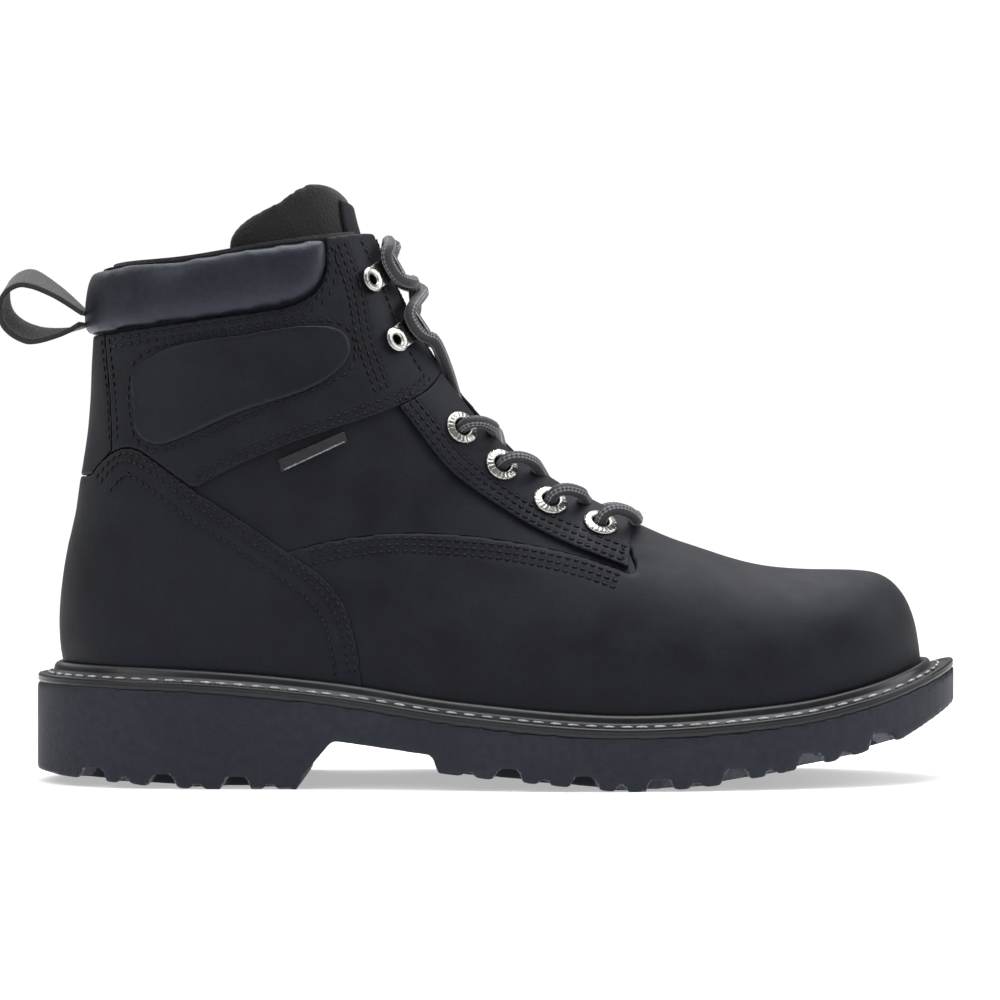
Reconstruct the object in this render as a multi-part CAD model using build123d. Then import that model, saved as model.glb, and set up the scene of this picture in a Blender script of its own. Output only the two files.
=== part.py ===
"""Six-inch lace-up steel toe work boot, right foot, Goodyear welted, millimetres.

Frame: +X points to the toe, +Y to the medial side, +Z up, z = 0 under the heel and forefoot treads.
The upper is a set of shells between nested copies of one last-shaped form.
"""
import math
import os

from build123d import *

# ---- driving dimensions -------------------------------------------------------------------
FAR = 240.0                 # half size of the cutting prisms, larger than the boot
OVERLAY_OUT = 1.2           # outer surface of overlaid leathers, from the vamp's outer surface
VAMP_OUT = 0.0
QUARTER_OUT = -0.8
SKIN_IN = -2.4
STIFF_OUT = -2.5            # toe cap, heel counter and interlining lie between skin and lining
STIFF_IN = -4.2
LINING_OUT = -4.3
LINING_IN = -5.6
SOCK_OUT = -6.0             # footbed edge
TONGUE_OUT = -7.5
TONGUE_IN = -13.0
COLLAR_OUT = 3.4            # crown of the padded collar
ANKLE_PAD_OUT = 2.6         # crown of the padded ankle window

WELT_THICK = 4.6            # sewn strip of the welt, above the outsole
WELT_RISE = 7.2             # top of the storm bead, above the outsole
BEAD_OUT = 3.2              # the bead stands this far off the upper
FILLER_THICK = 2.4
BOARD_THICK = 2.4
SOCK_THICK = 5.0
SHANK_SIZE = (96.0, 17.0, 1.4)

LUG_DEPTH = 4.2
LUG_PITCH = 25.0
EYELET_FLANGE_R = 5.8
EYELET_HOLE_R = 2.8
EYELET_WALL = 0.5
LOOP_WIDTH = 22.0
LOOP_THICK = 1.6
LOOP_HINGE = (-133.2, 0.0, 157.0)

# ---- the last-shaped form -----------------------------------------------------------------
# One row for each section, from the collar over the instep to the toe tip:
# front point x, z; back or sole point x, z; half width; place of the widest point (0 front, 1 back);
# fullness of the front end; fullness of the back end; sideways shift of the centre.
SECTIONS = [
    (-40.0, 205.0, -128.0, 197.0, 36.0, 0.58, 2.1, 2.2, 0.0),
    (-35.0, 190.0, -129.0, 176.0, 36.0, 0.58, 2.1, 2.2, 0.0),
    (-29.5, 175.0, -130.3, 155.0, 35.5, 0.58, 2.1, 2.2, 0.0),
    (-23.5, 162.0, -131.2, 135.0, 35.3, 0.59, 2.1, 2.2, 0.0),
    (-17.0, 150.0, -132.9, 115.5, 35.8, 0.60, 2.1, 2.2, 0.0),
    (-10.5, 139.5, -135.7, 97.5, 36.8, 0.61, 2.1, 2.2, 0.0),
    (-4.0, 131.0, -139.2, 80.0, 37.5, 0.62, 2.1, 2.3, 0.0),
    (2.0, 124.0, -141.7, 63.0, 37.8, 0.62, 2.1, 2.4, 0.0),
    (7.5, 118.5, -141.5, 47.0, 37.6, 0.63, 2.1, 2.6, -0.3),
    (12.5, 114.0, -137.0, 33.0, 37.2, 0.64, 2.1, 3.0, -0.7),
    (17.0, 110.0, -127.0, 22.0, 36.6, 0.65, 2.1, 3.3, -1.2),
    (21.5, 106.5, -110.0, 16.0, 36.2, 0.66, 2.1, 3.6, -1.8),
    (26.5, 102.7, -86.0, 13.0, 36.2, 0.67, 2.1, 4.0, -2.3),
    (32.0, 99.0, -58.0, 10.5, 37.2, 0.68, 2.1, 4.0, -2.5),
    (38.5, 95.5, -26.0, 8.5, 40.0, 0.70, 2.1, 4.0, -2.2),
    (47.0, 91.2, 8.0, 7.0, 44.5, 0.71, 2.1, 4.0, -1.2),
    (58.0, 86.0, 38.0, 6.0, 47.8, 0.72, 2.1, 4.0, 0.0),
    (71.0, 80.8, 62.0, 6.0, 48.5, 0.71, 2.15, 4.0, 1.2),
    (85.0, 76.2, 80.0, 7.0, 47.6, 0.69, 2.2, 4.0, 2.2),
    (99.0, 73.0, 92.0, 8.5, 45.8, 0.67, 2.25, 4.0, 3.0),
    (113.0, 71.8, 99.0, 9.5, 43.8, 0.66, 2.3, 4.0, 3.5),
    (126.0, 71.7, 103.5, 9.5, 41.6, 0.66, 2.35, 4.0, 3.8),
    (136.5, 70.6, 106.5, 9.0, 39.4, 0.67, 2.35, 4.0, 4.0),
    (144.0, 65.5, 109.0, 8.0, 37.0, 0.70, 2.35, 4.0, 4.0),
    (148.7, 57.0, 111.5, 6.5, 34.4, 0.74, 2.3, 4.0, 4.0),
    (151.0, 46.5, 114.0, 4.5, 31.6, 0.77, 2.25, 4.0, 4.0),
    (152.0, 36.0, 116.5, 2.0, 29.4, 0.78, 2.2, 4.0, 4.0),
    (151.5, 25.0, 119.0, -1.0, 28.0, 0.78, 2.2, 4.0, 4.0),
]
QUADRANT_STEPS = 4
END_STEP = 0.3

# Top of the outsole as x, z: the welt and every bottom layer follow it.
SOLE_TOP = [
    (-150.0, 34.0), (-92.0, 32.0), (-48.0, 28.0), (-6.0, 21.7), (48.0, 17.6),
    (99.0, 20.7), (128.0, 26.0), (149.0, 32.7), (163.0, 38.5),
]
# Top line of the shaft as x, z.
COLLAR_LINE = [
    (-140.0, 172.0), (-126.0, 174.0), (-100.0, 175.4), (-78.0, 179.0), (-53.0, 183.3), (-30.0, 187.0),
]
# Outer edge of the outsole seen from above: x, y, from the heel's back over the lateral side.
SOLE_EDGE = [
    (-150.5, 0.0), (-146.5, -18.5), (-134.0, -33.5), (-112.0, -43.0), (-85.0, -45.5), (-55.0, -46.2),
    (-25.0, -48.6), (5.0, -53.6), (32.0, -57.0), (62.0, -55.5), (95.0, -50.0), (122.0, -41.5),
    (145.0, -27.5), (158.5, -11.0), (163.5, 4.5), (161.0, 20.0), (149.0, 35.5), (126.0, 48.0),
    (95.0, 55.0), (58.0, 57.0), (30.0, 54.5), (2.0, 49.0), (-28.0, 44.2), (-58.0, 41.8),
    (-85.0, 41.6), (-112.0, 40.6), (-134.0, 32.5), (-146.5, 18.5),
]

_forms = {}


def section_wire(row, offset):
    """Closed curve of one section, grown by offset in its own plane, as four tangent quarters."""
    front_x, front_z, back_x, back_z, half, widest, front_full, back_full, shift = row
    length = math.hypot(front_x - back_x, front_z - back_z)
    down = Vector((back_x - front_x) / length, 0.0, (back_z - front_z) / length)
    across = Vector(0.0, 1.0, 0.0)
    centre = Vector(front_x, shift, front_z) + down * (widest * length)
    front_part = -(widest * length + offset)
    back_part = (1 - widest) * length + offset

    def quarter(part, fullness, side):
        """Points of a superellipse quarter from the middle line to the widest place."""
        points = []
        for step in range(QUADRANT_STEPS + 1):
            angle = math.pi / 2 * step / QUADRANT_STEPS
            along = part * round(math.cos(angle), 9) ** (2 / fullness)
            out = side * (half + offset) * math.sin(angle) ** (2 / fullness)
            points.append(centre + down * along + across * out)
        return points

    # Evenly numbered knots keep the lofted surfaces light.
    knots = [step / QUADRANT_STEPS for step in range(QUADRANT_STEPS + 1)]
    quarters = [
        (quarter(front_part, front_full, -1), -across, down),
        (quarter(back_part, back_full, -1)[::-1], down, across),
        (quarter(back_part, back_full, 1), across, -down),
        (quarter(front_part, front_full, 1)[::-1], -down, -across),
    ]
    return Wire([Edge.make_spline(points, tangents=[first, last], parameters=knots)
                 for points, first, last in quarters])


def form(offset):
    """Solid last shape whose surface lies offset outside the vamp's outer surface."""
    if offset not in _forms:
        # Inner copies are a little longer at both ends, so that a wall between two copies is open there.
        longer = END_STEP * (COLLAR_OUT - offset)
        top = list(SECTIONS[0])
        top[1] += longer
        top[3] += longer
        tip = list(SECTIONS[-1])
        tip[1] -= longer
        tip[3] -= longer
        rows = [top] + SECTIONS[1:-1] + [tip]
        _forms[offset] = Solid.make_loft([section_wire(row, offset) for row in rows])
    return _forms[offset]


def shell(outer, inner, zone):
    """Wall between two copies of the form, inside a zone."""
    return (form(outer) & zone) - (form(inner) & zone)


def side_prism(edges, side=0):
    """Prism across the boot from a closed side outline; side -1 lateral half, 1 medial half, 0 both."""
    face = Plane.XZ * make_face(edges)
    if side == 0:
        return extrude(face, amount=FAR / 2, both=True)
    return extrude(face, amount=-side * FAR / 2)


def polygon(points, side=0):
    """Prism with straight edges."""
    return side_prism(Polyline(*points, close=True).edges(), side)


def under(points, lift=0.0):
    """Everything below a smooth side curve raised by lift."""
    curve = Spline(*[(x, z + lift) for x, z in points])
    first = (points[0][0], points[0][1] + lift)
    last = (points[-1][0], points[-1][1] + lift)
    left = (-FAR, first[1])
    right = (FAR, last[1])
    rim = Polyline(last, right, (FAR, -FAR), (-FAR, -FAR), left, first)
    return side_prism(curve.edges() + rim.edges())


def layer(bottom, top):
    """Slab that follows the outsole's top, between two heights above it."""
    return under(SOLE_TOP, top) - under(SOLE_TOP, bottom)


def spline_region(curve_points, corner_points, side=0):
    """Prism bounded by a smooth curve and then straight runs back to its start."""
    curve = Spline(*curve_points)
    rim = Polyline(curve_points[-1], *corner_points, curve_points[0])
    return side_prism(curve.edges() + rim.edges(), side)


def save(name, shape):
    """Write one node."""
    solids = shape.solids()
    body = solids[0] if len(solids) == 1 else Compound(children=list(solids))
    export_step(body, "parts/" + name + ".step")


os.makedirs("parts", exist_ok=True)

# ---- shared cutters -----------------------------------------------------------------------
above_sole = side_prism(
    Spline(*SOLE_TOP).edges()
    + Polyline(SOLE_TOP[-1], (FAR, SOLE_TOP[-1][1]), (FAR, FAR), (-FAR, FAR), (-FAR, SOLE_TOP[0][1]),
               SOLE_TOP[0]).edges()
)
below_collar = under(COLLAR_LINE)
shaft_zone = above_sole & below_collar

# The throat runs from the vamp to the collar; its gap is cut square to the instep.
THROAT_START = (50.0, 0.0, 86.0)
THROAT_RUN = (-0.643, 0.0, 0.766)
THROAT_NORMAL = (0.766, 0.0, 0.643)
THROAT_GAP = [(0.0, 0.0), (3.0, 4.5), (12.0, 8.0), (40.0, 10.3), (110.0, 11.0), (165.0, 13.0)]
throat_plane = Plane(origin=THROAT_START, x_dir=THROAT_RUN, z_dir=THROAT_NORMAL)
gap_side = Polyline(*THROAT_GAP)
gap_back = Polyline(*[(u, -v) for u, v in THROAT_GAP])
gap_end = Line((THROAT_GAP[-1][0], THROAT_GAP[-1][1]), (THROAT_GAP[-1][0], -THROAT_GAP[-1][1]))
gap_face = throat_plane * make_face(gap_side.edges() + gap_back.edges() + gap_end.edges())
throat_gap = extrude(gap_face, amount=45.0, both=True)

# ---- side outlines of the upper's leathers ---------------------------------------------------
SWOOP = [(-66.0, 77.5), (-49.0, 82.0), (-24.0, 84.6), (14.0, 81.3), (35.0, 76.6), (53.5, 70.0)]
vamp_zone = spline_region(SWOOP, [(50.0, 80.0), (44.0, 120.0), (FAR, 120.0), (FAR, -20.0), (-66.0, -20.0)])

FOXING = [
    (-130.5, 103.8), (-124.0, 110.5), (-117.0, 113.0), (-108.0, 108.8), (-92.7, 97.8), (-76.0, 87.0),
    (-63.8, 78.6), (-51.3, 69.7), (-43.6, 59.4), (-40.3, 47.8), (-38.3, 34.9), (-38.0, 20.0),
]
foxing_zone = spline_region(FOXING, [(-38.0, -20.0), (-FAR, -20.0), (-FAR, 103.0)])

backstay_zone = polygon([(-FAR, 152.4), (-125.9, 152.4), (-123.5, 129.0), (-122.6, 112.6), (-130.0, 104.0),
                         (-FAR, 100.0)])
COLLAR_FOOT = [(-123.0, 151.6), (-101.0, 154.3), (-75.6, 157.9), (-60.0, 161.5), (-54.0, 165.5), (-51.0, 172.0)]
collar_zone = spline_region(COLLAR_FOOT, [(-51.5, FAR), (-FAR, FAR), (-FAR, 151.0)])

PANEL_FOOT = [(-93.0, 99.6), (-67.4, 112.1), (-46.0, 119.8), (-25.0, 127.8), (-16.0, 133.8), (-12.0, 142.0)]
panel_zone = spline_region(PANEL_FOOT, [(0.0, 160.0), (20.0, FAR), (-FAR, FAR), (-FAR, 99.0)])

EYESTAY_BACK = [(-30.0, 131.0), (-18.0, 116.0), (-9.3, 105.5), (4.0, 95.5), (17.4, 87.1), (34.2, 79.4), (50.5, 73.0)]
eyestay_zone = spline_region(EYESTAY_BACK, [(51.5, 84.0), (50.0, 110.0), (20.0, 150.0), (-30.0, 150.0)])

ANKLE_PAD = [
    (-114.8, 139.0), (-107.8, 144.3), (-79.0, 150.6), (-52.0, 153.9), (-44.5, 151.5), (-42.5, 145.0),
    (-47.0, 138.0), (-75.6, 125.6), (-99.0, 115.6), (-108.0, 113.9), (-113.5, 117.5), (-115.4, 129.0),
]

# ---- bottom of the boot --------------------------------------------------------------------
sole_edge = make_face(Spline(*SOLE_EDGE, periodic=True))
sole_block = extrude(sole_edge, amount=60.0)
sole_top_zone = under(SOLE_TOP)

TREAD = [(-13.0, 5.6), (3.0, 3.8), (28.0, 1.6), (45.0, 0.0), (60.0, 0.0), (78.0, 1.6), (100.0, 5.5),
         (116.0, 8.6), (130.0, 12.0), (142.0, 15.5), (166.0, 28.0)]
HEEL_TREAD = [(-151.0, 4.2), (-127.0, 2.2), (-95.0, 0.0), (-59.0, 0.0)]
SHANK_ARCH = [(-59.0, -1.0), (-58.5, 3.6), (-48.0, 16.0), (-15.0, 11.4)]
below_tread = polygon(SHANK_ARCH + TREAD + [(FAR, 28.0), (FAR, -20.0), (-59.0, -20.0)])
below_heel = polygon([(-FAR, 4.2)] + HEEL_TREAD[:3] + [(-95.0, -20.0), (-FAR, -20.0)])
outsole = (sole_block & sole_top_zone) - below_tread - below_heel


def height_at(points, x):
    """Height at x of a line of straight runs."""
    for (x0, z0), (x1, z1) in zip(points, points[1:]):
        if x0 <= x <= x1:
            return z0 + (z1 - z0) * (x - x0) / (x1 - x0)
    return points[-1][1]


def notch(x, foot, top_half, foot_half, depth, reach):
    """Pair of tapered notches that run in from both edges of the sole."""
    prism = polygon([(x - foot_half, foot - 8.0), (x - foot_half, foot), (x - top_half, foot + depth),
                     (x + top_half, foot + depth), (x + foot_half, foot), (x + foot_half, foot - 8.0)])
    middle = Box(4 * foot_half, 2 * (SOLE_HALF[x] - reach), 80.0).moved(Location((x, 0.0, 0.0)))
    return prism - middle


# Edge notches between the lugs: a wide one every pitch and a small one between each pair.
WIDE_NOTCHES = [(10.0 + LUG_PITCH * k, TREAD) for k in range(6)]
WIDE_NOTCHES += [(x, HEEL_TREAD) for x in (-128.0, -104.3, -79.7)]
SMALL_NOTCHES = [(-3.0 + LUG_PITCH * k, TREAD) for k in range(6)]
SMALL_NOTCHES += [(x, HEEL_TREAD) for x in (-117.0, -92.6, -68.5)]
SOLE_HALF = {}
for x, line in WIDE_NOTCHES + SMALL_NOTCHES:
    rim = sole_block.find_intersection_points(Axis((x, 0.0, 30.0), (0.0, 1.0, 0.0)))
    SOLE_HALF[x] = min(abs(hit[0].Y) for hit in rim)
for x, line in WIDE_NOTCHES:
    outsole = outsole - notch(x, height_at(line, x), 3.3, 4.8, LUG_DEPTH, 12.0)
for x, line in SMALL_NOTCHES:
    outsole = outsole - notch(x, height_at(line, x), 0.6, 2.2, 2.4, 7.0)
# Cross grooves in the middle of the tread stop short of the edge lugs.
for x, line in WIDE_NOTCHES:
    half = SOLE_HALF[x] - 16.0
    if half > 8.0 and x < 120.0:
        groove = Box(5.0, 2 * half, 2 * LUG_DEPTH - 1.0)
        outsole = outsole - groove.moved(Location((x + LUG_PITCH / 4, 0.0, height_at(line, x + 6.0))))
save("outsole", outsole)

upper_print = form(OVERLAY_OUT + 0.1)
welt_strip = (sole_block & layer(0.05, WELT_THICK)) - upper_print
bead = shell(BEAD_OUT, OVERLAY_OUT + 0.1, layer(0.05, WELT_RISE))
storm_welt = welt_strip + bead
save("storm_welt", storm_welt)

inside = form(SKIN_IN)
shank = Box(*SHANK_SIZE).moved(Location((-50.0, -2.0, 27.4), (0.0, 5.6, 0.0)))
filler = (inside & layer(0.1, FILLER_THICK)) - shank
shank = shank & layer(0.15, 40.0)
save("cork_filler", filler)
save("steel_shank", shank)
save("insole_board", inside & layer(FILLER_THICK + 0.05, FILLER_THICK + BOARD_THICK))
bottom_in = FILLER_THICK + BOARD_THICK + 0.05
save("footbed", form(SOCK_OUT) & layer(bottom_in + 1.4, bottom_in + 1.4 + SOCK_THICK))
above_board = above_sole - under(SOLE_TOP, bottom_in)
lining_floor = form(LINING_OUT) & layer(bottom_in, bottom_in + 1.3)

# ---- stiffeners and lining -------------------------------------------------------------------
cap_zone = polygon([(99.0, -20.0), (96.0, 120.0), (FAR, 120.0), (FAR, -20.0)])
gasket_zone = polygon([(92.5, -20.0), (89.5, 120.0), (95.9, 120.0), (98.9, -20.0)])
counter_zone = spline_region([(-FAR, 96.0), (-120.0, 94.0), (-95.0, 74.0), (-78.0, 44.0), (-76.0, 10.0)],
                             [(-76.0, -20.0), (-FAR, -20.0)])
save("steel_toe_cap", shell(STIFF_OUT, STIFF_IN, above_board & cap_zone))
save("toe_cap_gasket", shell(STIFF_OUT, STIFF_IN, above_board & gasket_zone))
save("heel_counter", shell(STIFF_OUT, STIFF_IN, above_board & counter_zone))
interlining_zone = (above_board & below_collar) - cap_zone - gasket_zone - counter_zone

# ---- eyelets and speed hooks -----------------------------------------------------------------
EYELETS = [(41.1, 87.7), (24.3, 95.2), (7.9, 107.3), (-5.6, 119.8)]
HOOKS = [(-25.5, 151.2), (-33.9, 171.3)]


def surface_spot(x, z, side, offset):
    """Plane on the form at a side view place: z along the outward normal, x up the throat."""
    axis = Axis((x, 0.0, z), (0.0, side, 0.0))
    hits = form(offset).find_intersection_points(axis)
    spot, normal = max(hits, key=lambda hit: side * hit[0].Y)
    if normal.Y * side < 0:
        normal = normal * -1
    run = Vector(*THROAT_RUN)
    run = run - normal * run.dot(normal)
    return Plane(origin=spot, x_dir=run, z_dir=normal)


def eyelet():
    """Rolled eyelet: domed flange outside, barrel through the leathers, washer inside."""
    half = Polyline((EYELET_HOLE_R, -7.9), (EYELET_HOLE_R + 1.7, -7.9), (EYELET_HOLE_R + 1.7, -7.5),
                    (EYELET_HOLE_R + EYELET_WALL, -7.1), (EYELET_HOLE_R + EYELET_WALL, 0.25),
                    (EYELET_FLANGE_R, 0.25), (EYELET_FLANGE_R, 0.6), (EYELET_FLANGE_R - 0.7, 1.15),
                    (EYELET_HOLE_R + 0.5, 1.25), (EYELET_HOLE_R, 0.75), close=True)
    return revolve(Plane.XZ * make_face(half.edges()), Axis.Z)


def speed_hook():
    """Bent plate that opens backwards, held by a hollow rivet."""
    path = Polyline((-4.6, 0.5), (4.2, 0.5)) + JernArc((4.2, 0.5), (1, 0), 2.9, 172)
    ribbon = Plane.YZ * trace(path.edges(), 0.9)
    plate = extrude(ribbon, amount=4.0, both=True)
    ring = Polyline((1.75, -7.9), (3.9, -7.9), (3.9, -7.5), (2.3, -7.1), (2.3, 0.95), (4.4, 0.95), (4.4, 1.4),
                    (3.6, 1.9), (2.2, 1.7), (1.75, 1.2), close=True)
    rivet = revolve(Plane.XZ * make_face(ring.edges()), Axis.Z).moved(Location((0.0, -4.4, 0.0)))
    plate = plate - Cylinder(2.3, 3.0).moved(Location((0.0, -4.4, 0.5)))
    return plate, rivet


hook_spots = {}
eyelet_spots = {}
eyelet_bores = []
hook_bores = []
flange_seats = []
washer_seats = []
foam_dents = []
for side, word in ((-1, "lateral"), (1, "medial")):
    rings = []
    for x, z in EYELETS:
        spot = surface_spot(x, z, side, OVERLAY_OUT)
        eyelet_spots.setdefault(side, []).append(spot)
        rings.append(spot.location * eyelet())
        eyelet_bores.append(spot.location * Cylinder(EYELET_HOLE_R + EYELET_WALL + 0.05, 26.0))
        flange_seats.append(spot.location * Cylinder(EYELET_FLANGE_R + 0.1, 2.0).moved(Location((0.0, 0.0, 1.2))))
        foam_dents.append(spot.location * Cylinder(EYELET_HOLE_R + 1.9, 10.2).moved(Location((0.0, 0.0, -3.1))))
    save("eyelets_" + word, Compound(children=[s for r in rings for s in r.solids()]))
    plates = []
    rivets = []
    for x, z in HOOKS:
        spot = surface_spot(x, z, side, OVERLAY_OUT)
        hook_spots.setdefault(side, []).append(spot)
        turned = Plane(origin=spot.origin, x_dir=spot.x_dir * side, z_dir=spot.z_dir)
        plate, rivet = speed_hook()
        plates.append(turned.location * plate)
        rivets.append(turned.location * rivet)
        hook_bores.append(turned.location * Cylinder(2.35, 16.0).moved(Location((0.0, -4.4, 0.0))))
        washer_seats.append(turned.location * Cylinder(4.1, 2.0).moved(Location((0.0, -4.4, -8.0))))
    save("speed_hooks_" + word, Compound(children=[s for p in plates for s in p.solids()]))
    save("hook_rivets_" + word, Compound(children=[s for r in rivets for s in r.solids()]))
bores = eyelet_bores + hook_bores

# ---- leathers --------------------------------------------------------------------------------
vamp = shell(VAMP_OUT, SKIN_IN, above_sole & vamp_zone) - throat_gap
save("vamp", vamp)
quarter_wall = (shell(QUARTER_OUT, SKIN_IN, shaft_zone - vamp_zone) - throat_gap) - bores
save("heel_foxing", shell(OVERLAY_OUT, QUARTER_OUT, above_sole & foxing_zone) - vamp)
save("backstay", shell(OVERLAY_OUT, QUARTER_OUT, backstay_zone - foxing_zone - collar_zone))
save("collar_pad", shell(COLLAR_OUT, QUARTER_OUT, below_collar & collar_zone))
panel_only = (panel_zone & below_collar) - foxing_zone - backstay_zone - collar_zone
panel_wall = (shell(OVERLAY_OUT, QUARTER_OUT, panel_only) - throat_gap) - bores
eyestay_wall = (shell(OVERLAY_OUT, QUARTER_OUT, eyestay_zone - panel_zone) - vamp - throat_gap) - bores
eyestay_wall = eyestay_wall - flange_seats
for side, word in ((-1, "lateral"), (1, "medial")):
    half = Box(2 * FAR, FAR, 2 * FAR).moved(Location((0.0, side * (FAR / 2 + 0.02), 0.0)))
    save("quarter_" + word, quarter_wall & half)
    save("ankle_panel_" + word, panel_wall & half)
    save("eyestay_" + word, eyestay_wall & half)
    window = side_prism(Spline(*ANKLE_PAD, periodic=True).edges(), side)
    save("ankle_pad_" + word, shell(ANKLE_PAD_OUT, OVERLAY_OUT, window))

tag_zone = polygon([(-66.3, 108.8), (-44.6, 118.4), (-43.2, 115.0), (-65.2, 104.6)], -1)
save("side_tag", shell(OVERLAY_OUT + 0.7, OVERLAY_OUT + 0.05, tag_zone))

save("interlining", (shell(STIFF_OUT, STIFF_IN, interlining_zone) - throat_gap) - bores)
lining_wall = shell(LINING_OUT, LINING_IN, above_board & under(COLLAR_LINE, 1.5))
save("lining", (((lining_wall - throat_gap) - bores) - washer_seats) + lining_floor)

# ---- tongue ------------------------------------------------------------------------------------
TONGUE_TOP = [(-84.0, 178.0), (-81.0, 187.0), (-68.0, 195.0), (-54.0, 202.8), (-47.0, 200.0), (-36.0, 186.0)]
tongue_zone = spline_region(TONGUE_TOP, [(20.0, 186.0), (60.0, 60.0), (20.0, 78.0), (-30.0, 112.0), (-58.0, 150.0)])
save("tongue_pad", shell(TONGUE_OUT, TONGUE_IN, tongue_zone) - foam_dents)
COVER_TOP = [(-60.0, 186.0), (-57.0, 194.0), (-48.0, 197.5), (-38.0, 186.0)]
cover_zone = spline_region(COVER_TOP, [(20.0, 186.0), (40.0, 110.0), (0.0, 110.0), (-35.0, 150.0)])
save("tongue_cover", (shell(TONGUE_OUT + 1.4, TONGUE_OUT + 0.05, cover_zone) & throat_gap) - foam_dents)

# ---- pull loop -----------------------------------------------------------------------------------
loop_path = Spline((-1.5, 2.2), (-12.0, 9.6), (-22.0, 13.4), (-29.0, 8.5), (-28.0, -1.0), (-20.0, -6.0),
                   (-9.0, -4.6), (-1.5, -1.0))
loop_face = Plane.XZ * trace(loop_path.edges(), LOOP_THICK)
loop = extrude(loop_face, amount=LOOP_WIDTH / 2, both=True).moved(Location(LOOP_HINGE))
save("pull_loop", loop)

# ---- lace --------------------------------------------------------------------------------------
# Each half goes up the boot from side to side: over the stay's edge, down through an eyelet, out
# beneath the edge and across the tongue to the next one; then round the hooks, and its end is
# tucked in between the tongue and the shaft.
LACE_R = 2.2


def place(spot, side, inward, outward, up):
    """Point beside a hardware place: towards the throat, off the leather and up the throat."""
    to_throat = spot.z_dir.cross(spot.x_dir) * side
    return spot.origin + to_throat * inward + spot.z_dir * outward + spot.x_dir * up


def half_route(first_side, low, shift):
    """Route points of one half, from the first eyelet's edge to the tucked end."""
    points = []
    side = first_side
    for number in range(4):
        spot = eyelet_spots[side][number]
        points.append(place(spot, side, 9.6, 3.6, -1.5 + shift))
        points.append(place(spot, side, 3.2, 6.6, 0.0))
        points.append(place(spot, side, 0.0, 0.6, 0.0))
        points.append(place(spot, side, 0.8, -9.6, 0.6))
        points.append(place(spot, side, 8.6, -8.2 - low, 2.0 + shift))
        side = -side
    for number in range(2):
        spot = hook_spots[side][number]
        if number:
            points.append(place(spot, side, 15.0, 3.5 - low, -13.0 + shift))
        points.append(place(spot, side, 8.2, 4.4, -8.0))
        points.append(place(spot, side, 4.2, 3.4, -3.4))
        points.append(place(spot, side, 4.2, 3.4, 3.4))
        points.append(place(spot, side, 8.0, 5.2, 8.0))
        side = -side
    points.append(place(hook_spots[side][1], side, 12.5, 4.5 - 1.4 * low, 10.0 + shift))
    points.append(place(hook_spots[side][1], side, 9.5, -5.5, 6.0 - shift))
    points.append(place(hook_spots[side][1], side, 4.0, -9.6, -4.0))
    points.append(place(hook_spots[side][1], side, 3.0, -9.8, -15.0))
    return points


def lace_radii(points):
    """Largest tangent arcs that the runs beside each corner leave room for."""
    radii = []
    for before, at, after in zip(points, points[1:], points[2:]):
        one = at - before
        two = after - at
        half_turn = math.radians(one.get_angle(two)) / 2
        radii.append(min(0.45 * min(one.length, two.length) / math.tan(half_turn), 40.0))
    return radii


half_a = half_route(-1, 0.0, 0.0)
half_b = half_route(1, 1.6, 4.2)
bar = (half_a[0] + half_b[0]) / 2 + Vector(*THROAT_NORMAL) * 1.2
lace_points = half_a[::-1] + [bar] + half_b
radii = lace_radii(lace_points)
print("lace radii", [round(r, 1) for r in radii])
lace_line = FilletPolyline(*lace_points, radius=radii)
lace_start = Plane(origin=lace_line @ 0, z_dir=lace_line % 0)
lace = sweep(lace_start * Circle(LACE_R), path=lace_line)
print("lace length", round(lace_line.length, 1), "volume over section",
      round(lace.volume / (math.pi * LACE_R ** 2), 1))
save("lace", lace)
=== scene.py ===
import math

import bmesh
import bpy
import numpy
from mathutils import Matrix, Vector, noise
from mathutils.bvhtree import BVHTree
from mathutils.kdtree import KDTree


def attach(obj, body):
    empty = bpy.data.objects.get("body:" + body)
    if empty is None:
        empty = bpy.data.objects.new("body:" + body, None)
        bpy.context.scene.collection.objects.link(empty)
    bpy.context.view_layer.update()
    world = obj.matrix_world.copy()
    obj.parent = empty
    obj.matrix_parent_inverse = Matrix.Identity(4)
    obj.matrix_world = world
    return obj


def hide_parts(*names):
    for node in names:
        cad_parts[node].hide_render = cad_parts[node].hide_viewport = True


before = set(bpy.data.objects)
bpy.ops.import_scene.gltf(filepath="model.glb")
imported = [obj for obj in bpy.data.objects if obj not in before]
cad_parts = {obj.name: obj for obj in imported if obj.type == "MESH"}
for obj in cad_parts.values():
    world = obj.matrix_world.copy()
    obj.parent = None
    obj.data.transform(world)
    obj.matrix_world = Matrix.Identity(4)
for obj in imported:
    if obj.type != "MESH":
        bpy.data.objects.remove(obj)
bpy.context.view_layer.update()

# Bench and camera. The boot stands on a pale sweep under broad soft lamps, seen square from its
# outer side, a little above the middle of its height.
MM = 0.001
CAMERA_PLACE = (7.4 * MM, -1.2, 95.5 * MM)
CAMERA_LENS = 126.0
CAMERA_SENSOR = 36.0
WALL_LEVEL = 0.36
SEEN_WALL_LEVEL = 1.02
OVERHEAD_POWER = 2.3
OVERHEAD_SPREAD = math.radians(95)
OVERHEAD_TILT = (math.radians(-14), math.radians(-12), 0.0)
FLOOR_GLOW = 0.42
FLOOR_SIZE = 6.0
# Power, size, place and aim of each soft box.
SOFT_BOXES = {
    "top_box": (9.0, 0.8, (0.1, 0.05, 1.0), (0.04, 0.0, 0.08)),
    "front_box": (3.0, 0.6, (-0.75, -0.9, 0.75), (0.0, 0.0, 0.08)),
    "toe_box": (5.0, 0.6, (1.0, -0.1, 0.6), (0.05, 0.0, 0.06)),
}
scene = bpy.context.scene


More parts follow.
